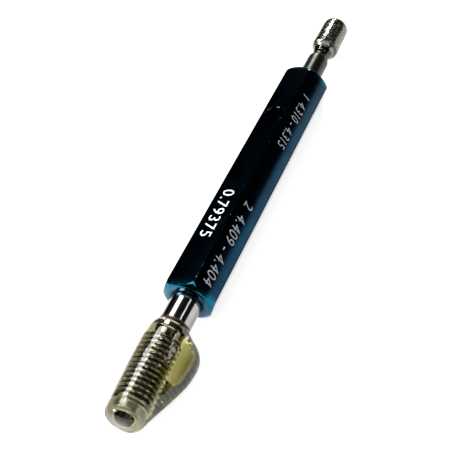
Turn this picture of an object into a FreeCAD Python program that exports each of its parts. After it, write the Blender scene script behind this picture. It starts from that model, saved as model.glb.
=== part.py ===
# Double-end thread plug gauge, 10-32 size, taper-lock style.
# A hexagonal anodised aluminium handle holds a hardened steel GO member at
# one end and a NO GO member at the other, each by a self-holding taper.
# Both gauging ends wear a clear dipped peel-off protective coating.
#
# Frame: millimetres. The handle axis runs along X, the GO member points to
# +X, +Z is up. The origin is the centre of the handle flat that lies on the
# table, so that flat is the plane Z = 0.

import FreeCAD, Part
import math
import os

os.makedirs("parts", exist_ok=True)

V = FreeCAD.Vector

# ---------------------------------------------------------------- dimensions
# handle
HEX_AF = 7.9375            # across flats, 5/16 in bar
HANDLE_LENGTH = 50.8       # 2 in
CORNER_RADIUS_LIMIT = 4.53 # turned size that takes the sharpness off the hex corners
END_FACE_RADIUS = 3.45     # flat end face inside the rounded end
END_MID_RADIUS = 4.20      # a point on the rounded end
END_MID_SETBACK = 0.45
END_SETBACK = 1.50         # axial length of the rounded end
MOUTH_RADIUS_EXTRA = 0.24  # small countersink at each socket mouth
MOUTH_DEPTH = 0.24

# taper sockets and shanks
TAPER = 0.06               # diameter change per unit length
SHANK_DEPTH = 11.45        # how far each member reaches into the handle
SOCKET_EXTRA = 0.7         # taper bore continues past the shank end
RELIEF_UNDER = 0.05        # drill radius is this much under the taper's small end
RELIEF_END = 9.8           # |X| where the drilled relief stops being cylindrical
DRILL_TIP = 1.0

# drift holes, used to knock the members out
DRIFT_RADIUS = 1.8
DRIFT_X = 12.3             # |X| of each drift hole
DRIFT_POINT = 1.08         # length of the drill point below the full diameter

# NO GO member
NOGO_SHANK_R = 2.46
NOGO_SHANK_END = 30.9      # |X| where the plain shank ends
NOGO_RELIEF_R = 1.95
NOGO_RELIEF_A = 31.35
NOGO_RELIEF_B = 32.65
NOGO_THREAD_R = 2.39
NOGO_THREAD_A = 33.1
NOGO_THREAD_B = 43.1
NOGO_PILOT_A = 43.56       # plain pilot ahead of the first thread
NOGO_PILOT_R = 1.93
NOGO_PILOT_B = 44.72
NOGO_END = 44.9
NOGO_END_R = 1.75
NOGO_CENTRE_R = 1.10
NOGO_CENTRE_DEPTH = 1.7

# GO member
GO_SHANK_R = 1.95
GO_SHANK_END = 31.6
GO_SHOULDER_MID = (32.25, 1.80)
GO_NECK_R = 1.50
GO_NECK_A = 32.6
GO_NECK_B = 34.7
GO_THREAD_R = 2.40
GO_THREAD_A = 35.6
GO_THREAD_B = 41.8
GO_END = 42.3
GO_END_R = 1.93
GO_CENTRE_R = 0.80
GO_CENTRE_DEPTH = 1.2

# GO coating: outer profile as (|X|, radius)
GO_COAT = [(33.20, 1.54), (33.70, 1.60), (34.20, 1.72), (34.70, 1.92),
           (35.15, 2.22), (35.60, 2.45), (36.10, 2.50), (36.80, 2.50),
           (37.60, 2.50), (38.60, 2.50), (39.60, 2.50), (40.60, 2.50),
           (41.40, 2.49), (41.95, 2.43), (42.40, 2.24), (42.75, 1.88),
           (42.95, 1.30), (43.02, 0.60)]

# NO GO coating: outer sections as (X, body radius, reach of the sag).
# The clear material ran down one side and set there as a fin-like sag.
SAG_FROM_UP = 119.6        # degrees from +Z towards -Y to the middle of the sag
SAG_SPREAD_UP = 38.0       # angular spread on the side facing up
SAG_SPREAD_DOWN = 30.0     # angular spread on the side facing down
NOGO_COAT = [(-30.00, 2.50, 2.51), (-30.20, 2.66, 2.69), (-30.45, 2.85, 2.96),
             (-30.80, 3.03, 3.42), (-31.30, 3.20, 4.08), (-31.80, 3.31, 4.78),
             (-32.40, 3.38, 5.36), (-33.10, 3.41, 5.75), (-34.10, 3.42, 5.97),
             (-35.10, 3.41, 6.00), (-36.10, 3.39, 5.92), (-37.10, 3.36, 5.75),
             (-38.10, 3.32, 5.50), (-39.10, 3.27, 5.19), (-40.10, 3.22, 4.84),
             (-41.10, 3.17, 4.47), (-42.10, 3.12, 4.09), (-43.10, 3.08, 3.72),
             (-44.10, 3.04, 3.36), (-44.90, 2.99, 3.08), (-45.50, 2.89, 2.89),
             (-45.95, 2.66, 2.62), (-46.25, 2.32, 2.27), (-46.45, 1.85, 1.81),
             (-46.56, 1.20, 1.18), (-46.60, 0.50, 0.49)]

AXIS_Z = HEX_AF / 2.0
HALF = HANDLE_LENGTH / 2.0


# ------------------------------------------------------------------- helpers
def revolve(points):
    """Solid of revolution about the gauge axis from (x, r) points; a triple
    of points wrapped in a list is an arc."""
    edges = []
    last = None
    for p in points:
        if isinstance(p, list):
            a = V(last[0], 0, last[1])
            m = V(p[0][0], 0, p[0][1])
            b = V(p[1][0], 0, p[1][1])
            edges.append(Part.Arc(a, m, b).toShape())
            last = p[1]
        else:
            if last is not None:
                edges.append(Part.makeLine(V(last[0], 0, last[1]), V(p[0], 0, p[1])))
            last = p
    first = points[0]
    edges.append(Part.makeLine(V(last[0], 0, last[1]), V(first[0], 0, first[1])))
    face = Part.Face(Part.Wire(edges))
    solid = face.revolve(V(0, 0, 0), V(1, 0, 0), 360)
    solid.translate(V(0, 0, AXIS_Z))
    return solid


def taper_radius(mouth_r, depth):
    return mouth_r - TAPER * depth / 2.0


def mirror_x(shape):
    return shape.mirror(V(0, 0, 0), V(1, 0, 0))


def smooth_profile(points):
    pts = [V(x, 0, r) for x, r in points]
    c = Part.BSplineCurve()
    c.interpolate(pts)
    return c.toShape()


# -------------------------------------------------------------------- handle
def make_handle():
    r_corner = HEX_AF / math.sqrt(3.0)
    pts = []
    for k in range(7):
        a = math.radians(60 * k)
        pts.append(V(-HALF, r_corner * math.cos(a), AXIS_Z + r_corner * math.sin(a)))
    bar = Part.Face(Part.makePolygon(pts)).extrude(V(HANDLE_LENGTH, 0, 0))

    turned = revolve([
        (-HALF, 0), (-HALF, END_FACE_RADIUS),
        [(-HALF + END_MID_SETBACK, END_MID_RADIUS), (-HALF + END_SETBACK, CORNER_RADIUS_LIMIT)],
        (HALF - END_SETBACK, CORNER_RADIUS_LIMIT),
        [(HALF - END_MID_SETBACK, END_MID_RADIUS), (HALF, END_FACE_RADIUS)],
        (HALF, 0)])
    body = bar.common(turned)

    def socket(mouth_r):
        small = taper_radius(mouth_r, SHANK_DEPTH + SOCKET_EXTRA)
        drill = small - RELIEF_UNDER
        m = mouth_r + MOUTH_RADIUS_EXTRA
        return revolve([
            (HALF + 0.5, 0), (HALF + 0.5, m), (HALF, m),
            (HALF - MOUTH_DEPTH, taper_radius(mouth_r, MOUTH_DEPTH)),
            (HALF - SHANK_DEPTH - SOCKET_EXTRA, small),
            (HALF - SHANK_DEPTH - SOCKET_EXTRA, drill),
            (RELIEF_END, drill), (RELIEF_END - DRILL_TIP, 0)])

    body = body.cut(socket(GO_SHANK_R))
    body = body.cut(mirror_x(socket(NOGO_SHANK_R)))

    # Drift hole of the GO end, straight down through the upper flat, and that
    # of the NO GO end, through the upper flat at the back. Each is drilled to
    # its full diameter as deep as the gauge axis, with the drill point below.
    def drift_hole(x, out):
        start = V(x, 0, AXIS_Z) + out * (AXIS_Z + 0.5)
        drill = Part.makeCylinder(DRIFT_RADIUS, AXIS_Z + 0.5, start, out * -1)
        point = Part.makeCone(DRIFT_RADIUS, 0, DRIFT_POINT, V(x, 0, AXIS_Z), out * -1)
        rim = Part.makeCone(DRIFT_RADIUS + 0.12 + 0.5, DRIFT_RADIUS, 0.5 + 0.12,
                            start, out * -1)
        return drill.fuse(point).fuse(rim)

    a = math.radians(60)
    body = body.cut(drift_hole(DRIFT_X, V(0, 0, 1)))
    body = body.cut(drift_hole(-DRIFT_X, V(0, math.sin(a), math.cos(a))))
    return body


# ------------------------------------------------------------------- members
def make_go_member():
    x0 = HALF - SHANK_DEPTH
    return revolve([
        (x0, 0), (x0, taper_radius(GO_SHANK_R, SHANK_DEPTH)),
        (HALF, GO_SHANK_R), (GO_SHANK_END, GO_SHANK_R),
        [GO_SHOULDER_MID, (GO_NECK_A, GO_NECK_R)],
        (GO_NECK_B, GO_NECK_R), (GO_THREAD_A, GO_THREAD_R),
        (GO_THREAD_B, GO_THREAD_R), (GO_END, GO_END_R),
        (GO_END, GO_CENTRE_R), (GO_END - GO_CENTRE_DEPTH, 0)])


def make_nogo_member():
    x0 = HALF - SHANK_DEPTH
    m = revolve([
        (x0, 0), (x0, taper_radius(NOGO_SHANK_R, SHANK_DEPTH)),
        (HALF, NOGO_SHANK_R), (NOGO_SHANK_END, NOGO_SHANK_R),
        (NOGO_RELIEF_A, NOGO_RELIEF_R), (NOGO_RELIEF_B, NOGO_RELIEF_R),
        (NOGO_THREAD_A, NOGO_THREAD_R), (NOGO_THREAD_B, NOGO_THREAD_R),
        (NOGO_PILOT_A, NOGO_PILOT_R), (NOGO_PILOT_B, NOGO_PILOT_R),
        (NOGO_END, NOGO_END_R), (NOGO_END, NOGO_CENTRE_R),
        (NOGO_END - NOGO_CENTRE_DEPTH, 0)])
    return mirror_x(m)


# ------------------------------------------------------------------ coatings
def make_go_coating(member):
    curve = smooth_profile(GO_COAT)
    x_a, r_a = GO_COAT[0]
    x_b, r_b = GO_COAT[-1]
    edges = [curve,
             Part.makeLine(V(x_b, 0, r_b), V(x_b, 0, 0)),
             Part.makeLine(V(x_b, 0, 0), V(x_a, 0, 0)),
             Part.makeLine(V(x_a, 0, 0), V(x_a, 0, r_a))]
    face = Part.Face(Part.Wire(Part.__sortEdges__(edges)))
    outer = face.revolve(V(0, 0, 0), V(1, 0, 0), 360)
    outer.translate(V(0, 0, AXIS_Z))
    return outer.cut(member)


def sag_radius(theta, body, reach):
    """Outer radius at theta degrees, measured from +Z towards -Y."""
    d = (theta - SAG_FROM_UP + 180.0) % 360.0 - 180.0
    s = SAG_SPREAD_UP if d < 0 else SAG_SPREAD_DOWN
    return body + (reach - body) * math.exp(-(d / s) ** 2)


def make_nogo_coating(member):
    wires = []
    for x, body, reach in NOGO_COAT:
        pts = []
        for k in range(40):
            t = 9.0 * k
            r = sag_radius(t, body, reach)
            a = math.radians(t)
            pts.append(V(x, -r * math.sin(a), AXIS_Z + r * math.cos(a)))
        c = Part.BSplineCurve()
        c.interpolate(Points=pts, PeriodicFlag=True)
        wires.append(Part.Wire([c.toShape()]))
    outer = Part.makeLoft(wires, True, False)
    return outer.cut(member)


# --------------------------------------------------------------------- build
handle = make_handle()
go_member = make_go_member()
nogo_member = make_nogo_member()
go_coating = make_go_coating(go_member)
nogo_coating = make_nogo_coating(nogo_member)

for name, shape in (("handle", handle), ("go_member", go_member),
                    ("nogo_member", nogo_member), ("go_coating", go_coating),
                    ("nogo_coating", nogo_coating)):
    if shape.ShapeType != "Solid":
        solids = shape.Solids
        shape = solids[0] if len(solids) == 1 else Part.makeCompound(solids)
    print(name, "valid", shape.isValid(), "closed solids", len(shape.Solids),
          "volume %.2f mm3" % shape.Volume)
    shape.exportStep("parts/" + name + ".step")
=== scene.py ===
import math

import bmesh
import bpy
from mathutils import Matrix, Vector, noise


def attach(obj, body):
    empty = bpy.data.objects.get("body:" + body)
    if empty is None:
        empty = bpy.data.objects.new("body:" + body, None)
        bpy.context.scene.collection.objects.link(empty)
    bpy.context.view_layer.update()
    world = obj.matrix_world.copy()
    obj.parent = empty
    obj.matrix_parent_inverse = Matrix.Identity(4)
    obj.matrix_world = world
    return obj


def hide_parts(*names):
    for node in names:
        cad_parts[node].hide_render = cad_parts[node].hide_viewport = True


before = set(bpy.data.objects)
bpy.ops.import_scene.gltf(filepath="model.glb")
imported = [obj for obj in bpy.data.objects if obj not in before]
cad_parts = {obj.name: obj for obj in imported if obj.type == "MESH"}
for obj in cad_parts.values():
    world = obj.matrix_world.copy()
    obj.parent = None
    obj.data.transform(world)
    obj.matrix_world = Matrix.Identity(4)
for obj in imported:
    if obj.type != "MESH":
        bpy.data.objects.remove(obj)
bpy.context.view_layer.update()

MM = 0.001
AF = 7.9375
AXIS = AF / 2.0
HALF = 25.4
PITCH = 25.4 / 32.0

scene = bpy.context.scene


# ------------------------------------------------------------------ helpers
def link(obj):
    scene.collection.objects.link(obj)
    return obj


def mesh_object(name, verts, faces):
    me = bpy.data.meshes.new(name)
    me.from_pydata([(v[0] * MM, v[1] * MM, v[2] * MM) for v in verts], [], faces)
    me.validate()
    return link(bpy.data.objects.new(name, me))


def tidy(obj, sharp=35.0):
    """Outward normals, smooth shading, and sharp edges above an angle."""
    bm = bmesh.new()
    bm.from_mesh(obj.data)
    bmesh.ops.remove_doubles(bm, verts=bm.verts, dist=0.0005 * MM)
    bmesh.ops.dissolve_degenerate(bm, edges=bm.edges, dist=0.0002 * MM)
    bmesh.ops.recalc_face_normals(bm, faces=bm.faces)
    bm.to_mesh(obj.data)
    bm.free()
    for p in obj.data.polygons:
        p.use_smooth = True
    obj.data.set_sharp_from_angle(angle=math.radians(sharp))
    return obj


def skin(rings, first=None, last=None):
    """Quads between rings of equal length; first and last are end points."""
    n = len(rings[0])
    verts = [p for ring in rings for p in ring]
    faces = []
    for i in range(len(rings) - 1):
        for j in range(n):
            k = (j + 1) % n
            faces.append((i * n + j, i * n + k, (i + 1) * n + k, (i + 1) * n + j))
    if first is not None:
        c = len(verts)
        verts.append(first)
        for j in range(n):
            faces.append((c, (j + 1) % n, j))
    if last is not None:
        c = len(verts)
        verts.append(last)
        b = (len(rings) - 1) * n
        for j in range(n):
            faces.append((c, b + j, b + (j + 1) % n))
    return verts, faces


def circle_ring(x, r, n):
    out = []
    for j in range(n):
        a = 2 * math.pi * j / n
        out.append((x, r * math.cos(a), AXIS + r * math.sin(a)))
    return out


def spread(points, step):
    """Points added along a polyline so that no span is longer than step."""
    out = [points[0]]
    for a, b in zip(points, points[1:]):
        d = math.dist(a, b)
        m = max(1, int(math.ceil(d / step)))
        for i in range(1, m + 1):
            t = i / m
            out.append(tuple(a[k] + (b[k] - a[k]) * t for k in range(len(a))))
    return out


def arc3(a, m, b, n):
    """Points on the circle through a, m and b, from a to b."""
    ax, ay = a
    bx, by = m
    cx, cy = b
    d = 2 * (ax * (by - cy) + bx * (cy - ay) + cx * (ay - by))
    ux = ((ax * ax + ay * ay) * (by - cy) + (bx * bx + by * by) * (cy - ay) + (cx * cx + cy * cy) * (ay - by)) / d
    uy = ((ax * ax + ay * ay) * (cx - bx) + (bx * bx + by * by) * (ax - cx) + (cx * cx + cy * cy) * (bx - ax)) / d
    r = math.hypot(ax - ux, ay - uy)
    t0 = math.atan2(ay - uy, ax - ux)
    t1 = math.atan2(cy - uy, cx - ux)
    tm = math.atan2(by - uy, bx - ux)
    while t1 - t0 > math.pi:
        t1 -= 2 * math.pi
    while t1 - t0 < -math.pi:
        t1 += 2 * math.pi
    return [(ux + r * math.cos(t0 + (t1 - t0) * i / n), uy + r * math.sin(t0 + (t1 - t0) * i / n)) for i in range(n + 1)]


def smooth_curve(points, step):
    """Monotone-ish Catmull-Rom through rows of numbers; the first is x."""
    out = []
    n = len(points)
    for i in range(n - 1):
        p0 = points[max(i - 1, 0)]
        p1, p2 = points[i], points[i + 1]
        p3 = points[min(i + 2, n - 1)]
        m = max(1, int(math.ceil(math.dist(p1[:2], p2[:2]) / step)))
        for q in range(m):
            t = q / m
            row = []
            for k in range(len(p1)):
                a, b, c, d = p0[k], p1[k], p2[k], p3[k]
                row.append(0.5 * (2 * b + (c - a) * t + (2 * a - 5 * b + 4 * c - d) * t * t + (3 * b - a - 3 * c + d) * t ** 3))
            out.append(tuple(row))
    out.append(tuple(points[-1]))
    return out


def softmin(a, b, k):
    h = max(k - abs(a - b), 0.0) / k
    return min(a, b) - h * h * k * 0.25


# ---------------------------------------------------------------- materials
class Nodes:
    """Short names for building a material's nodes."""

    def __init__(self, name):
        self.mat = bpy.data.materials.new(name)
        self.mat.use_nodes = True
        self.t = self.mat.node_tree
        self.t.nodes.clear()
        self.out = self.t.nodes.new("ShaderNodeOutputMaterial")
        self.bsdf = self.t.nodes.new("ShaderNodeBsdfPrincipled")
        self.t.links.new(self.bsdf.outputs[0], self.out.inputs["Surface"])
        tc = self.t.nodes.new("ShaderNodeTexCoord")
        mp = self.t.nodes.new("ShaderNodeMapping")
        mp.inputs["Scale"].default_value = (1000, 1000, 1000)
        self.t.links.new(tc.outputs["Object"], mp.inputs["Vector"])
        self.mm = mp.outputs[0]
        sep = self.t.nodes.new("ShaderNodeSeparateXYZ")
        self.t.links.new(self.mm, sep.inputs[0])
        self.x, self.y, self.z = sep.outputs
        self._r = None

    def set(self, **kw):
        for k, v in kw.items():
            self.bsdf.inputs[k.replace("_", " ")].default_value = v

    def put(self, socket, value):
        if isinstance(value, bpy.types.NodeSocket):
            self.t.links.new(value, socket)
        else:
            socket.default_value = value

    def math(self, op, a, b=0.0, c=0.0, clamp=False):
        n = self.t.nodes.new("ShaderNodeMath")
        n.operation = op
        n.use_clamp = clamp
        for s, v in zip(n.inputs, (a, b, c)):
            self.put(s, v)
        return n.outputs[0]

    def radius(self):
        if self._r is None:
            dz = self.math("SUBTRACT", self.z, AXIS)
            self._r = self.math("SQRT", self.math("ADD", self.math("MULTIPLY", self.y, self.y), self.math("MULTIPLY", dz, dz)))
        return self._r

    def step(self, v, a, b):
        """0 below a and 1 above b, or the other way if a is above b."""
        n = self.t.nodes.new("ShaderNodeMapRange")
        n.interpolation_type = "SMOOTHSTEP"
        self.put(n.inputs["Value"], v)
        lo, hi = (a, b) if a < b else (b, a)
        n.inputs["From Min"].default_value = lo
        n.inputs["From Max"].default_value = hi
        n.inputs["To Min"].default_value = 0.0 if a < b else 1.0
        n.inputs["To Max"].default_value = 1.0 if a < b else 0.0
        return n.outputs[0]

    def map(self, v, a, b, c, d):
        n = self.t.nodes.new("ShaderNodeMapRange")
        self.put(n.inputs["Value"], v)
        for k, q in (("From Min", a), ("From Max", b), ("To Min", c), ("To Max", d)):
            n.inputs[k].default_value = q
        return n.outputs[0]

    def noise(self, scale, stretch=(1, 1, 1), detail=3.0, rough=0.5, shift=(0, 0, 0)):
        mp = self.t.nodes.new("ShaderNodeMapping")
        mp.inputs["Scale"].default_value = stretch
        mp.inputs["Location"].default_value = shift
        self.t.links.new(self.mm, mp.inputs["Vector"])
        n = self.t.nodes.new("ShaderNodeTexNoise")
        n.inputs["Scale"].default_value = scale
        n.inputs["Detail"].default_value = detail
        n.inputs["Roughness"].default_value = rough
        self.t.links.new(mp.outputs[0], n.inputs["Vector"])
        return n.outputs["Fac"]

    def voronoi(self, scale, feature="F1", stretch=(1, 1, 1)):
        mp = self.t.nodes.new("ShaderNodeMapping")
        mp.inputs["Scale"].default_value = stretch
        self.t.links.new(self.mm, mp.inputs["Vector"])
        n = self.t.nodes.new("ShaderNodeTexVoronoi")
        n.feature = feature
        n.inputs["Scale"].default_value = scale
        self.t.links.new(mp.outputs[0], n.inputs["Vector"])
        return n.outputs["Distance"]

    def mix(self, fac, a, b):
        n = self.t.nodes.new("ShaderNodeMix")
        n.data_type = "RGBA"
        n.clamp_factor = True
        self.put(n.inputs[0], fac)
        self.put(n.inputs[6], a)
        self.put(n.inputs[7], b)
        return n.outputs[2]

    def mixf(self, fac, a, b):
        n = self.t.nodes.new("ShaderNodeMix")
        n.data_type = "FLOAT"
        n.clamp_factor = True
        self.put(n.inputs[0], fac)
        self.put(n.inputs[2], a)
        self.put(n.inputs[3], b)
        return n.outputs[0]

    def bump(self, height, strength, distance, below=None):
        n = self.t.nodes.new("ShaderNodeBump")
        n.inputs["Strength"].default_value = strength
        n.inputs["Distance"].default_value = distance * MM
        self.t.links.new(height, n.inputs["Height"])
        if below is not None:
            self.t.links.new(below, n.inputs["Normal"])
        return n.outputs[0]

    def link(self, name, value):
        self.t.links.new(value, self.bsdf.inputs[name])


def make_blue():
    """Bright blue-dyed anodising over drawn aluminium bar."""
    m = Nodes("anodised_blue")
    m.set(Metallic=1.0, Coat_Weight=0.12, Coat_Roughness=0.05, Coat_IOR=1.5)
    r = m.radius()
    patch = m.noise(0.16, (1, 1.5, 1.5), 3.0, 0.55)
    fine = m.noise(1.4, (0.6, 1, 1), 4.0, 0.6, (7, 3, 1))
    deep = m.mix(m.step(patch, 0.35, 0.68), (0.0010, 0.019, 0.042, 1), (0.0016, 0.031, 0.062, 1))
    hue = m.mix(m.math("MULTIPLY", m.step(fine, 0.45, 0.75), 0.35), deep, (0.0012, 0.037, 0.066, 1))
    # dye is thinner on the turned ends, where it looks brighter
    ax = m.math("ABSOLUTE", m.x)
    turned = m.step(ax, 23.7, 25.2)
    hue = m.mix(m.math("MULTIPLY", turned, 0.65), hue, (0.002, 0.140, 0.235, 1))
    # painted shade: the socket walls and drift holes are painted a darker blue
    inside = m.step(r, 3.3, 2.9)
    hue = m.mix(m.math("MULTIPLY", inside, 0.6), hue, (0.002, 0.016, 0.034, 1))
    # wear down to bright metal on the corners, in short broken runs
    corner = m.step(r, 4.455, 4.525)
    runs = m.noise(0.55, (0.55, 1.4, 1.4), 5.0, 0.68, (3, 9, 4))
    dings = m.noise(2.6, (0.8, 1, 1), 3.0, 0.6, (1, 2, 8))
    near_end = m.step(ax, 17.0, 25.0)
    limit = m.math("ADD", runs, m.math("MULTIPLY", near_end, 0.10))
    wear = m.math("MULTIPLY", corner, m.step(limit, 0.66, 0.74))
    nick = m.math("MULTIPLY", corner, m.step(dings, 0.70, 0.76))
    wear = m.math("MAXIMUM", wear, nick)
    rim = m.math("MULTIPLY", m.step(ax, 25.30, 25.38), m.step(dings, 0.70, 0.78))
    wear = m.math("MAXIMUM", wear, m.math("MULTIPLY", rim, 0.35))
    # hairline scratches from handling
    hair = m.noise(0.9, (0.35, 9.0, 9.0), 2.0, 0.5, (5, 5, 5))
    scratch = m.math("MULTIPLY", m.step(hair, 0.735, 0.76), m.step(fine, 0.5, 0.6))
    colour = m.mix(wear, hue, (0.56, 0.62, 0.64, 1))
    colour = m.mix(m.math("MULTIPLY", scratch, 0.35), colour, (0.10, 0.30, 0.38, 1))
    m.link("Base Color", colour)
    lines = m.noise(1.0, (0.05, 26.0, 26.0), 3.0, 0.6)
    rings = m.noise(1.0, (16.0, 0.3, 0.3), 2.0, 0.5)
    rough = m.map(patch, 0.3, 0.7, 0.085, 0.115)
    rough = m.math("ADD", rough, m.math("MULTIPLY", turned, 0.03))
    rough = m.math("ADD", rough, m.math("MULTIPLY", wear, 0.16))
    rough = m.math("ADD", rough, m.math("MULTIPLY", scratch, 0.10))
    m.link("Roughness", rough)
    height = m.mixf(turned, lines, rings)
    b = m.bump(height, 0.02, 0.004)
    b = m.bump(m.math("SUBTRACT", 1.0, m.math("MAXIMUM", wear, scratch)), 0.12, 0.008, b)
    m.link("Normal", b)
    return m.mat


def make_steel(name, lo, hi, band, lapped, dark_shank, pilot_frost, edge_stain):
    """Hardened tool steel, ground on the plain lengths and lapped on the thread."""
    m = Nodes(name)
    m.set(Metallic=1.0)
    r = m.radius()
    cloud = m.noise(0.5, (1, 1, 1), 4.0, 0.6)
    base = m.mix(m.step(cloud, 0.35, 0.7), lo, hi)
    # a brown film of rust preventive lies next to the coating
    ax = m.math("ABSOLUTE", m.x)
    film = m.math("MULTIPLY", m.step(ax, band[0], band[1]), m.step(m.noise(1.1, (1.5, 1, 1), 4.0, 0.65, (2, 2, 2)), 0.36, 0.62))
    base = m.mix(m.math("MULTIPLY", film, 0.55), base, (0.13, 0.105, 0.060, 1))
    thread = m.step(ax, band[2], band[2] + 0.3)
    base = m.mix(m.math("MULTIPLY", thread, 0.8), base, lapped)
    threaded = m.math("MULTIPLY", thread, m.step(ax, band[3], band[3] - 0.4))
    # painted shade: the thread roots are painted near black
    root = m.math("MULTIPLY", threaded, m.step(r, 2.14, 1.97))
    base = m.mix(m.math("MULTIPLY", root, 0.86), base, (0.030, 0.027, 0.016, 1))
    # painted shade: the centre hole in the plug's end is painted near black
    hole = m.math("MULTIPLY", m.step(ax, band[3] - 2.2, band[3] - 2.0), m.step(r, 1.10, 0.98))
    base = m.mix(hole, base, (0.018, 0.018, 0.017, 1))
    # the exposed shank between the handle and the thread is made near black where dark_shank is set
    shank_darkened = m.math("MULTIPLY", m.step(ax, 24.0, 25.0), m.step(ax, band[2], band[2] - 0.4))
    base = m.mix(m.math("MULTIPLY", shank_darkened, dark_shank), base, (0.024, 0.023, 0.017, 1))
    # painted highlight: the inner end of the shank, seen through the drift hole, is painted near white
    base = m.mix(m.step(ax, 14.9, 14.6), base, (0.86, 0.86, 0.84, 1))
    pilot = m.math("MULTIPLY", m.step(ax, band[3] - 0.1, band[3] + 0.1), m.math("MULTIPLY", m.step(r, 1.14, 1.30), pilot_frost))
    base = m.mix(m.math("MULTIPLY", pilot, m.map(cloud, 0.3, 0.7, 0.45, 1.0)), base, (0.20, 0.20, 0.19, 1))
    ring = m.math("MULTIPLY", m.math("MULTIPLY", m.step(ax, 29.58, 29.78), m.step(ax, 30.6, 30.3)), edge_stain)
    base = m.mix(ring, base, (0.035, 0.021, 0.010, 1))
    spots = m.math("MULTIPLY", m.step(m.noise(3.2, (1, 1, 1), 3.0, 0.6, (4, 1, 6)), 0.68, 0.76), 0.45)
    base = m.mix(spots, base, (0.09, 0.075, 0.055, 1))
    m.link("Base Color", base)
    grind = m.noise(1.0, (34.0, 0.25, 0.25), 3.0, 0.65)
    rough = m.map(grind, 0.3, 0.7, 0.085, 0.15)
    rough = m.math("ADD", rough, m.math("MULTIPLY", cloud, 0.05))
    rough = m.math("ADD", rough, m.math("MULTIPLY", root, 0.18))
    rough = m.math("ADD", rough, m.math("MULTIPLY", film, 0.08))
    rough = m.math("ADD", rough, m.math("MULTIPLY", shank_darkened, 0.16 * dark_shank))
    rough = m.math("ADD", rough, m.math("MULTIPLY", m.step(ax, 14.9, 14.6), 0.14))
    rough = m.math("ADD", rough, m.math("MULTIPLY", pilot, 0.16))
    rough = m.math("ADD", rough, m.math("MULTIPLY", ring, 0.30))
    m.link("Roughness", rough)
    b = m.bump(grind, 0.06, 0.006)
    b = m.bump(cloud, 0.05, 0.05, b)
    m.link("Normal", b)
    return m.mat


def make_coat(name, tint, absorb, density, edge, frost, wave, sag=None):
    """Clear dipped cellulose coating; the tint of its thickness is absorption."""
    m = Nodes(name)
    m.set(Metallic=0.0, Transmission_Weight=1.0, IOR=1.475, Specular_IOR_Level=0.5)
    cloud = m.noise(0.35, (1, 1, 1), 3.0, 0.5)
    streak = m.noise(0.8, (0.5, 1.2, 1.2), 4.0, 0.6, (3, 1, 2))
    ax = m.math("ABSOLUTE", m.x)
    base = m.mix(m.step(cloud, 0.35, 0.68), tint[0], tint[1])
    brown = m.math("MULTIPLY", m.step(ax, edge[1], edge[0]), m.map(streak, 0.3, 0.7, 0.55, 1.0))
    if sag is not None:
        # the thick sag is tinted a cloudier olive and painted darker as shade, darkest along its underside
        out = m.step(m.radius(), 3.40, 4.1)
        underside_shade = m.step(m.z, 3.9, 2.2)
        deep = m.mix(m.math("MULTIPLY", underside_shade, 0.85), sag[0], sag[1])
        deep = m.mix(m.math("MULTIPLY", m.step(streak, 0.42, 0.66), 0.35), deep, sag[0])
        base = m.mix(out, base, deep)
    base = m.mix(brown, base, edge[2])
    m.link("Base Color", base)
    dust = m.noise(5.5, (1, 1, 1), 3.0, 0.65, (8, 8, 8))
    rough = m.map(streak, 0.3, 0.75, 0.012, 0.05)
    cloudy = m.math("MULTIPLY", m.step(ax, frost[0], frost[0] + 0.5), m.step(ax, frost[1] + 0.4, frost[1]))
    rough = m.math("ADD", rough, m.math("MULTIPLY", m.math("MULTIPLY", cloudy, m.map(dust, 0.3, 0.7, 0.5, 1.0)), frost[2]))
    rough = m.math("ADD", rough, m.math("MULTIPLY", m.step(dust, 0.66, 0.74), 0.12))
    m.link("Roughness", rough)
    low = m.noise(0.9, (0.8, 1, 1), 2.0, 0.45, (1, 5, 2))
    b = m.bump(low, wave[0], 0.10)
    b = m.bump(streak, wave[1], 0.03, b)
    b = m.bump(dust, 0.06, 0.008, b)
    m.link("Normal", b)
    vol = m.t.nodes.new("ShaderNodeVolumeAbsorption")
    vol.inputs["Color"].default_value = absorb
    vol.inputs["Density"].default_value = density
    m.t.links.new(vol.outputs[0], m.out.inputs["Volume"])
    return m.mat


def make_mark(name, light, dark, patch):
    """Laser-marked figures: pale, slightly grainy, broken where worn."""
    m = Nodes(name)
    m.set(Metallic=0.0, Specular_IOR_Level=0.2)
    grain = m.noise(9.0, (1, 1, 1), 3.0, 0.7)
    broad = m.noise(0.8, (1, 1, 1), 3.0, 0.6, (2, 7, 1))
    f = m.math("ADD", m.math("MULTIPLY", grain, 0.6), m.math("MULTIPLY", broad, 0.4))
    m.link("Base Color", m.mix(m.step(f, patch[0], patch[1]), dark, light))
    m.link("Roughness", m.map(grain, 0.3, 0.7, 0.45, 0.75))
    m.link("Normal", m.bump(grain, 0.3, 0.008))
    return m.mat


def make_floor():
    m = Nodes("pale_sweep")
    m.set(Metallic=0.0, Roughness=0.9, Specular_IOR_Level=0.0)
    n = m.noise(0.02, (1, 1, 1), 4.0, 0.5)
    m.link("Base Color", m.mix(n, (0.50, 0.50, 0.50, 1), (0.53, 0.53, 0.53, 1)))
    flat = m.math("SQRT", m.math("ADD", m.math("MULTIPLY", m.x, m.x), m.math("MULTIPLY", m.y, m.y)))
    # painted light: the floor glows, brightest around the gauge and fading out towards the far floor
    m.set(Emission_Color=(1, 1, 1, 1))
    m.link("Emission Strength", m.map(flat, 50.0, 320.0, FLOOR_GLOW, FLOOR_GLOW_FAR))
    return m.mat


# -------------------------------------------------------- tuning of the look
FLOOR_GLOW = 0.80
FLOOR_GLOW_FAR = 0.16

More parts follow.
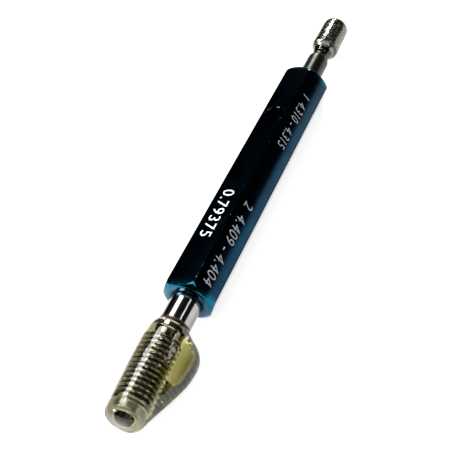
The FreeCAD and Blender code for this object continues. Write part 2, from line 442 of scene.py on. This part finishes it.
BLUE = make_blue()
STEEL_NOGO = make_steel("lapped_steel_nogo", (0.27, 0.265, 0.255, 1), (0.33, 0.325, 0.31, 1), (29.3, 30.6, 32.6, 43.6), (0.42, 0.41, 0.38, 1), 0.0, 1.0, 0.95)
STEEL_GO = make_steel("lapped_steel_go", (0.20, 0.195, 0.17, 1), (0.27, 0.26, 0.23, 1), (29.8, 34.0, 35.0, 42.4), (0.37, 0.36, 0.33, 1), 0.97, 0.0, 0.0)
COAT_NOGO = make_coat("dip_coat_yellowed", ((0.98, 0.98, 0.94, 1), (0.93, 0.93, 0.85, 1)),
                      (0.80, 0.76, 0.42, 1), 300.0, (30.16, 30.50, (0.05, 0.028, 0.010, 1)),
                      (42.8, 44.4, 0.035), (0.42, 0.60), ((0.33, 0.315, 0.125, 1), (0.150, 0.138, 0.034, 1)))
COAT_GO = make_coat("dip_coat_clear", ((0.98, 0.98, 0.96, 1), (0.95, 0.95, 0.91, 1)),
                    (0.86, 0.85, 0.62, 1), 260.0, (33.25, 33.6, (0.45, 0.40, 0.25, 1)),
                    (34.6, 42.6, 0.10), (0.20, 0.20))
MARK_WHITE = make_mark("mark_white", (0.93, 0.93, 0.92, 1), (0.62, 0.63, 0.64, 1), (0.34, 0.44))
MARK_GREY = make_mark("mark_grey", (0.27, 0.28, 0.29, 1), (0.12, 0.14, 0.15, 1), (0.30, 0.46))


# ------------------------------------------------------------------- handle
def facet_height(deg, s):
    """Distance of a facet from the axis, s across it. The flat at 150 degrees
    is crowned off centre, lower towards its lower edge."""
    h = AF / 2.0 * math.tan(math.radians(30))
    off = 0.5 if deg % 360 == 150 else 0.0
    return AF / 2.0 - CROWN_BY_NORMAL[deg % 360] * (s / h + off) ** 2


def hex_section():
    """One turn of the bar's section, facets very slightly crowned by
    polishing. Points are (y, z) about the axis, angle from +Y to +Z."""
    pts = []
    h = AF / 2.0 * math.tan(math.radians(30))
    ts = []
    edge = math.sqrt(4.53 ** 2 - (AF / 2.0) ** 2) / h
    for i in range(-15, 16):
        ts.append(h * (edge - 0.03) * i / 15.0)
    extra = [edge - 0.012, edge]
    ts = [-h * e for e in reversed(extra)] + ts + [h * e for e in extra]
    for k in range(6):
        deg = 30 + 60 * k
        n = (math.cos(math.radians(deg)), math.sin(math.radians(deg)))
        t = (-n[1], n[0])
        for s in ts:
            d = facet_height(deg, s)
            pts.append((n[0] * d + t[0] * s, n[1] * d + t[1] * s))
    return pts


# normals at these angles from +Y towards +Z: 90 is the top flat, 270 rests on
# the table, 150 is the flat that faces the camera's right
CROWN_BY_NORMAL = {90: 0.006, 150: 0.066, 210: 0.05, 270: 0.0, 330: 0.03, 30: 0.02}
SECTION = hex_section()


def hex_ring(x, limit):
    out = []
    for y, z in SECTION:
        r = math.hypot(y, z)
        q = min(r, limit)
        out.append((x, y * q / r, AXIS + z * q / r))
    return out


def round_ring(x, r):
    out = []
    for y, z in SECTION:
        q = math.hypot(y, z)
        out.append((x, y * r / q, AXIS + z * r / q))
    return out


def socket_profile(mouth):
    """(|x|, r) from the bottom of the drilled hole out to the end face."""
    def taper(d):
        return mouth - 0.03 * d
    small = taper(12.15)
    drill = small - 0.05
    p = [(8.9, 0.15), (9.8, drill), (13.25, drill), (13.25, small)]
    p += [(25.4 - d, taper(d)) for d in (11.2, 9.0, 7.0, 5.0, 3.0, 1.5, 0.6, 0.24)]
    p += [(25.4 - 0.03, mouth + 0.21), (25.4, mouth + 0.27)]
    return p


def build_handle():
    rings = []

    def end(sign, mouth, outward):
        inner = spread(socket_profile(mouth), 1.2)
        face = [(25.4, 2.80), (25.4, 3.10), (25.4, 3.33)]
        lip = arc3((25.4, 3.45), (24.95, 4.20), (23.9, 4.53), 34)
        part = [round_ring(sign * a, r) for a, r in inner]
        part += [round_ring(sign * a, r) for a, r in face]
        # the first few rings of the lip are softened into the end face
        part += [round_ring(sign * 25.392, 3.41)]
        part += [hex_ring(sign * a, r) for a, r in lip[1:]]
        return part if outward else part[::-1]

    rings += end(-1, 2.46, True)
    x = -23.9
    while x < 23.55:
        x += 0.45
        rings.append(hex_ring(x, 4.53))
    rings += end(1, 1.95, False)
    verts, faces = skin(rings, (-8.8, 0, AXIS), (8.8, 0, AXIS))
    obj = tidy(mesh_object("handle_bar", verts, faces), 40)

    def cutter(x, ang):
        """Drill with a point and a small rim chamfer, along a facet normal."""
        out = Vector((0, math.cos(ang), math.sin(ang)))
        u = Vector((1, 0, 0))
        v = out.cross(u)
        prof = [(AF / 2 + 1.2, 2.52), (AF / 2 + 0.30, 2.14), (AF / 2 + 0.02, 1.945), (AF / 2 - 0.05, 1.865), (AF / 2 - 0.14, 1.805)]
        prof += [(h, 1.8) for h in (3.4, 2.9, 2.4, 1.9, 1.4, 0.9, 0.45, 0.0)]
        prof += [(-0.35, 1.22), (-0.7, 0.63), (-1.0, 0.13)]
        rr = []
        for h, r in prof:
            ring = []
            for j in range(72):
                a = 2 * math.pi * j / 72
                p = Vector((x, 0, AXIS)) + out * h + (u * math.cos(a) + v * math.sin(a)) * r
                ring.append(tuple(p))
            rr.append(ring)
        top = tuple(Vector((x, 0, AXIS)) + out * (AF / 2 + 1.2))
        tip = tuple(Vector((x, 0, AXIS)) + out * -1.08)
        vv, ff = skin(rr, top, tip)
        return tidy(mesh_object("cut", vv, ff), 40)

    for x, deg in ((12.3, 90), (-12.3, 30)):
        c = cutter(x, math.radians(deg))
        mod = obj.modifiers.new("hole", "BOOLEAN")
        mod.operation = "DIFFERENCE"
        mod.solver = "EXACT"
        mod.object = c
        dg = bpy.context.evaluated_depsgraph_get()
        dg.update()
        me = bpy.data.meshes.new_from_object(obj.evaluated_get(dg))
        obj.modifiers.clear()
        old = obj.data
        obj.data = me
        bpy.data.meshes.remove(old)
        bpy.data.objects.remove(c)
    tidy(obj, 21)
    obj.data.materials.clear()
    obj.data.materials.append(BLUE)
    return obj


handle = build_handle()
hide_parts("handle")
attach(handle, "root")


# ------------------------------------------------------------------ members
def thread_radius(x, a, major, minor, crest):
    """Right-hand 60 degree thread about +X; a from +Y towards +Z."""
    u = (x / PITCH - a / (2 * math.pi)) % 1.0
    s = abs(u - 0.5) * PITCH
    r = major - max(0.0, s - crest) * 1.7320508
    # rounded root
    k = 0.05
    h = max(k - abs(r - minor), 0.0) / k
    return max(r, minor) + h * h * k * 0.25


def build_plug(name, sign, plain, thread, tail, major, minor, crest, mat):
    """plain and tail are (|x|, r) turned profiles, thread is (from, to, start
    limit, end limit) with 45 degree ends."""
    n = 168
    rings = []
    for a, r in plain:
        rings.append(circle_ring(sign * a, r, n))
    x0, x1, r0, r1 = thread
    steps = int(math.ceil((x1 - x0) / (PITCH / 16.0)))
    for i in range(steps + 1):
        x = x0 + (x1 - x0) * i / steps
        ring = []
        for j in range(n):
            a = 2 * math.pi * j / n
            r = thread_radius(sign * x, a, major, minor, crest)
            r = softmin(r, r0 + (x - x0) * 1.0, 0.05)
            r = softmin(r, r1 + (x1 - x) * 0.95, 0.05)
            ring.append((sign * x, r * math.cos(a), AXIS + r * math.sin(a)))
        rings.append(ring)
    for a, r in tail:
        rings.append(circle_ring(sign * a, r, n))
    verts, faces = skin(rings, (sign * plain[0][0], 0, AXIS), (sign * tail[-1][0] + sign * tail[-1][1] * -1.0, 0, AXIS))
    obj = tidy(mesh_object(name, verts, faces), 50)
    obj.data.materials.append(mat)
    return obj


def shank(mouth, end):
    """Tapered shank inside the handle, with a small rounded inner end."""
    p = [(13.95, 0.5), (13.95, 1.0)]
    small = mouth - 0.03 * 11.45
    p += [(13.95, small - 0.34), (13.98, small - 0.22), (14.06, small - 0.11), (14.17, small - 0.035), (14.30, small - 0.005)]
    for a in (15, 17, 19, 21, 23, 24.5, 25.4):
        p.append((a, mouth - 0.03 * (25.4 - a)))
    a = 25.9
    while a < end - 0.3:
        p.append((a, mouth))
        a += 0.5
    return p


nogo_plain = shank(2.46, 30.9) + [(30.62, 2.46), (30.76, 2.45), (30.86, 2.41), (30.95, 2.33)]
nogo_plain += [(31.10, 2.19), (31.25, 2.05), (31.35, 1.975), (31.45, 1.95), (31.9, 1.95), (32.4, 1.95), (32.62, 1.95)]
nogo_tail = [(43.7, 1.93), (44.1, 1.93), (44.5, 1.93), (44.72, 1.93), (44.84, 1.86), (44.90, 1.74), (44.90, 1.45), (44.90, 1.16), (44.87, 1.09), (44.80, 1.03), (44.5, 0.84), (44.1, 0.59), (43.7, 0.33), (43.4, 0.14)]
nogo_plug = build_plug("nogo_plug", -1, nogo_plain, (32.65, 43.56, 1.96, 1.93), nogo_tail, 2.39, 1.90, 0.075, STEEL_NOGO)
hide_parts("nogo_member")
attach(nogo_plug, "root")

go_plain = shank(1.95, 31.6) + [(31.45, 1.95), (31.60, 1.945)]
go_plain += arc3((31.62, 1.94), (32.25, 1.80), (32.6, 1.50), 10)[1:] + [(32.9, 1.50), (33.4, 1.50), (34.0, 1.50), (34.5, 1.50)]
go_plain += [(34.70, 1.505), (34.85, 1.60), (35.00, 1.76)]
go_tail = [(42.30, 1.72), (42.30, 1.3), (42.30, 0.88), (42.26, 0.80), (42.15, 0.72), (41.8, 0.49), (41.4, 0.22), (41.25, 0.10)]
go_plug = build_plug("go_plug", 1, go_plain, (35.12, 42.28, 1.90, 1.93), go_tail, 2.40, 1.915, 0.050, STEEL_GO)
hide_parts("go_member")
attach(go_plug, "root")


# ----------------------------------------------------------------- coatings
GO_COAT = [(33.20, 1.54), (33.70, 1.60), (34.20, 1.72), (34.70, 1.92),
           (35.15, 2.22), (35.60, 2.45), (36.10, 2.50), (36.80, 2.50),
           (37.60, 2.50), (38.60, 2.50), (39.60, 2.50), (40.60, 2.50),
           (41.40, 2.49), (41.95, 2.43), (42.40, 2.24), (42.75, 1.88),
           (42.95, 1.30), (43.02, 0.60)]

NOGO_COAT = [(-30.00, 2.50, 2.51), (-30.20, 2.66, 2.69), (-30.45, 2.85, 2.96),
             (-30.80, 3.03, 3.42), (-31.30, 3.20, 4.08), (-31.80, 3.31, 4.78),
             (-32.40, 3.38, 5.36), (-33.10, 3.41, 5.75), (-34.10, 3.42, 5.97),
             (-35.10, 3.41, 6.00), (-36.10, 3.39, 5.92), (-37.10, 3.36, 5.75),
             (-38.10, 3.32, 5.50), (-39.10, 3.27, 5.19), (-40.10, 3.22, 4.84),
             (-41.10, 3.17, 4.47), (-42.10, 3.12, 4.09), (-43.10, 3.08, 3.72),
             (-44.10, 3.04, 3.36), (-44.90, 2.99, 3.08), (-45.50, 2.89, 2.89),
             (-45.95, 2.66, 2.62), (-46.25, 2.32, 2.27), (-46.45, 1.85, 1.81),
             (-46.56, 1.20, 1.18), (-46.60, 0.50, 0.49)]


def build_nogo_coat():
    n = 160
    outer = []
    for x, body, reach in smooth_curve(NOGO_COAT, 0.16):
        ring = []
        fade = min(1.0, max(0.0, (-30.1 - x) / 1.2)) * min(1.0, max(0.0, (x + 46.6) / 1.0))
        for j in range(n):
            t = 360.0 * j / n
            d = (t - 119.6 + 180.0) % 360.0 - 180.0
            s = 38.0 if d < 0 else 30.0
            r = body + (reach - body) * math.exp(-(d / s) ** 2)
            a = math.radians(t)
            # runs and ripples of a thick dip, only inward from the true size
            p = Vector((x * 0.55, math.sin(a) * 1.9, math.cos(a) * 1.9))
            q = Vector((x * 1.5 + 9.0, math.sin(a) * 4.2, math.cos(a) * 4.2))
            w = 0.055 * (0.5 + 0.5 * noise.noise(p)) + 0.018 * (0.5 + 0.5 * noise.noise(q))
            r -= w * fade
            ring.append((x, -r * math.sin(a), AXIS + r * math.cos(a)))
        outer.append(ring)

    def inner_ring(x, r):
        ring = []
        for j in range(n):
            a = 2 * math.pi * j / n
            ring.append((x, -r * math.sin(a), AXIS + r * math.cos(a)))
        return ring

    inner = [inner_ring(x, r) for x, r in
             ((-43.30, 0.20), (-43.7, 0.40), (-44.1, 0.66), (-44.5, 0.91), (-44.78, 1.11), (-44.85, 1.22), (-44.86, 1.5), (-44.80, 1.68), (-44.6, 1.82), (-43.7, 1.86), (-43.0, 1.86), (-41, 1.87), (-38, 1.87), (-35, 1.87),
              (-32.6, 1.90), (-31.4, 1.91), (-31.2, 2.02), (-30.95, 2.28), (-30.8, 2.40), (-30.5, 2.43), (-30.2, 2.435), (-29.99, 2.44))]
    rings = outer[::-1] + inner[::-1]
    verts, faces = skin(rings, (-46.605, 0, AXIS), (-43.15, 0, AXIS))
    obj = tidy(mesh_object("nogo_dip_coat", verts, faces), 60)
    obj.data.materials.append(COAT_NOGO)
    return obj


def build_go_coat():
    n = 128
    outer = []
    for x, r0 in smooth_curve(GO_COAT, 0.12):
        ring = []
        fade = min(1.0, max(0.0, (x - 33.6) / 1.0)) * min(1.0, max(0.0, (43.02 - x) / 0.6))
        for j in range(n):
            a = 2 * math.pi * j / n
            p = Vector((x * 0.8, math.sin(a) * 1.6, math.cos(a) * 1.6))
            r = r0 - 0.022 * (0.5 + 0.5 * noise.noise(p)) * fade
            ring.append((x, r * math.cos(a), AXIS + r * math.sin(a)))
        outer.append(ring)
    inner = [circle_ring(x, r, n) for x, r in
             ((42.25, 0.5), (42.25, 1.0), (42.25, 1.5), (42.2, 1.84), (41.6, 1.87), (39, 1.88), (36.5, 1.88), (35.2, 1.80),
              (34.9, 1.58), (34.6, 1.47), (34.0, 1.47), (33.5, 1.47), (33.18, 1.48))]
    rings = outer[::-1] + inner[::-1]
    verts, faces = skin(rings, (43.025, 0, AXIS), (42.25, 0, AXIS))
    obj = tidy(mesh_object("go_dip_coat", verts, faces), 60)
    obj.data.materials.append(COAT_GO)
    return obj


nogo_coat = build_nogo_coat()
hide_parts("nogo_coating")
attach(nogo_coat, "root")
go_coat = build_go_coat()
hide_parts("go_coating")
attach(go_coat, "root")


# ------------------------------------------------------------------ figures
def figures(name, body, start, centre, normal_deg, length, height, mat, shear, weight):
    """Plain numbers marked on a facet. They read towards -X."""
    cu = bpy.data.curves.new(name, "FONT")
    cu.body = body
    cu.size = 1.0
    cu.shear = shear
    cu.offset = weight
    cu.resolution_u = 6
    cu.space_character = 1.08
    tmp = link(bpy.data.objects.new(name + "_src", cu))
    dg = bpy.context.evaluated_depsgraph_get()
    dg.update()
    flat = bpy.data.meshes.new_from_object(tmp.evaluated_get(dg))
    xs = [v.co.x for v in flat.vertices]
    ys = [v.co.y for v in flat.vertices]
    x0, x1, y0, y1 = min(xs), max(xs), min(ys), max(ys)
    kx = length / (x1 - x0)
    ky = height / (y1 - y0)
    a = math.radians(normal_deg)
    out = Vector((0, math.cos(a), math.sin(a)))
    read = Vector((-1, 0, 0))
    up = out.cross(read)
    bm = bmesh.new()
    bm.from_mesh(flat)
    bmesh.ops.remove_doubles(bm, verts=bm.verts, dist=1e-5)
    # cut across the strokes, so that they follow the crown of the facet
    for k in range(1, 8):
        cut_at = y0 + (y1 - y0) * (k + 0.013) / 8.0
        geom = bm.verts[:] + bm.edges[:] + bm.faces[:]
        bmesh.ops.bisect_plane(bm, geom=geom, dist=0.0008, plane_co=(0, cut_at, 0), plane_no=(0, 1, 0))
    bmesh.ops.remove_doubles(bm, verts=bm.verts, dist=0.0008)
    bmesh.ops.dissolve_degenerate(bm, edges=bm.edges, dist=0.0008)
    bmesh.ops.triangulate(bm, faces=bm.faces)
    for v in bm.verts:
        v.co.z = 0.0
    bmesh.ops.recalc_face_normals(bm, faces=bm.faces)
    if sum(f.normal.z for f in bm.faces) < 0:
        bmesh.ops.reverse_faces(bm, faces=bm.faces)
    res = bmesh.ops.extrude_face_region(bm, geom=bm.faces[:])
    top = {g for g in res["geom"] if isinstance(g, bmesh.types.BMVert)}
    for v in bm.verts:
        s = (v.co.x - x0) * kx
        t = (v.co.y - (y0 + y1) / 2) * ky + centre
        lift = 0.014 if v in top else -0.030
        d = facet_height(normal_deg, t) + lift
        p = Vector((start, 0, AXIS)) + read * s + up * t + out * d
        v.co = p * MM
    bmesh.ops.recalc_face_normals(bm, faces=bm.faces)
    me = bpy.data.meshes.new(name)
    bm.to_mesh(me)
    bm.free()
    bpy.data.objects.remove(tmp)
    obj = link(bpy.data.objects.new(name, me))
    obj.data.materials.append(mat)
    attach(obj, "root")
    return obj


figures("figures_pitch", "0.79375", -5.9, -0.15, 90, 9.9, 1.95, MARK_WHITE, 0.0, -0.006)
figures("figures_nogo", "2  4.409 - 4.404", -6.9, -0.35, 150, 16.4, 1.75, MARK_GREY, 0.12, -0.006)
figures("figures_go", "1  4.310 - 4.315", 19.0, -0.35, 150, 12.7, 1.65, MARK_GREY, 0.12, -0.006)


# -------------------------------------------------------------------- stage
def build_floor():
    n = 40
    size = 1600.0
    verts = []
    for i in range(n + 1):
        for j in range(n + 1):
            verts.append(((i / n - 0.5) * 2 * size, (j / n - 0.5) * 2 * size, -0.004))
    faces = []
    for i in range(n):
        for j in range(n):
            a = i * (n + 1) + j
            faces.append((a, a + n + 1, a + n + 2, a + 1))
    f = mesh_object("floor", verts, faces)
    f.data.materials.append(make_floor())
    return f


build_floor()


def panel(name, centre, face, along, size_along, size_across, radiance, colour=(1, 1, 1)):
    """Softbox at centre (metres), facing the point face; along is the
    direction of its first side."""
    li = bpy.data.lights.new(name, "AREA")
    li.shape = "RECTANGLE"
    li.size = size_along
    li.size_y = size_across
    li.energy = radiance * 4.0 * size_along * size_across
    li.color = colour
    ob = link(bpy.data.objects.new(name, li))
    z = (Vector(centre) - Vector(face)).normalized()
    x = Vector(along)
    x = (x - z * x.dot(z)).normalized()
    y = z.cross(x)
    m = Matrix((x, y, z)).transposed().to_4x4()
    m.translation = Vector(centre)
    ob.matrix_world = m
    ob.visible_camera = False
    return ob


def long_panel(name, cross_a, cross_b, x_a, x_b, h, radiance, colour=(1, 1, 1)):
    """Softbox parallel to the gauge, between two angles about its axis,
    measured from up towards +Y."""
    mid = math.radians((cross_a + cross_b) / 2)
    half = math.radians((cross_b - cross_a) / 2)
    c = Vector(((x_a + x_b) / 2, math.sin(mid) * h, math.cos(mid) * h + AXIS * MM))
    return panel(name, c, (c.x, 0, AXIS * MM), (1, 0, 0), x_b - x_a, 2 * h * math.tan(half), radiance, colour)


long_panel("key", 5.0, 28.5, 0.08, 0.36, 0.5, 9.0)
long_panel("key_far", 7.0, 31.0, 0.590, 1.0, 0.5, 36.0)
long_panel("strip", -53.4, -49.6, 0.14, 0.38, 0.5, 5.0)
panel("overhead", (-0.15, -0.12, 0.52), (-0.10, -0.02, 0.0), (1, 0, 0), 0.22, 1.0, 3.2)
panel("side", (-0.36, 0.36, 0.40), (-0.03, 0.0, 0.0), (0, 0, 1), 0.26, 0.26, 13.0)

world = bpy.data.worlds.new("studio")
scene.world = world
world.use_nodes = True
wn = world.node_tree
wn.nodes.clear()
w_out = wn.nodes.new("ShaderNodeOutputWorld")
w_bg = wn.nodes.new("ShaderNodeBackground")
w_bg.inputs["Color"].default_value = (0.9, 0.95, 1.0, 1)
w_bg.inputs["Strength"].default_value = 0.005
wn.links.new(w_bg.outputs[0], w_out.inputs["Surface"])

# ------------------------------------------------------------------- camera
cam = bpy.data.cameras.new("camera")
cam.lens = 68.0
cam.sensor_width = 36.0
cam.clip_start = 0.005
cam.clip_end = 20.0
cam_obj = link(bpy.data.objects.new("camera", cam))
cam_obj.matrix_world = Matrix((
    (0.396767, 0.726276, -0.561337, -0.085086),
    (-0.868847, 0.099873, -0.484903, -0.064357),
    (-0.296111, 0.680109, 0.670649, 0.093862),
    (0.0, 0.0, 0.0, 1.0)))
scene.camera = cam_obj

scene.view_settings.view_transform = "Standard"
scene.view_settings.look = "None"
scene.view_settings.exposure = 0.0
scene.view_settings.gamma = 1.0
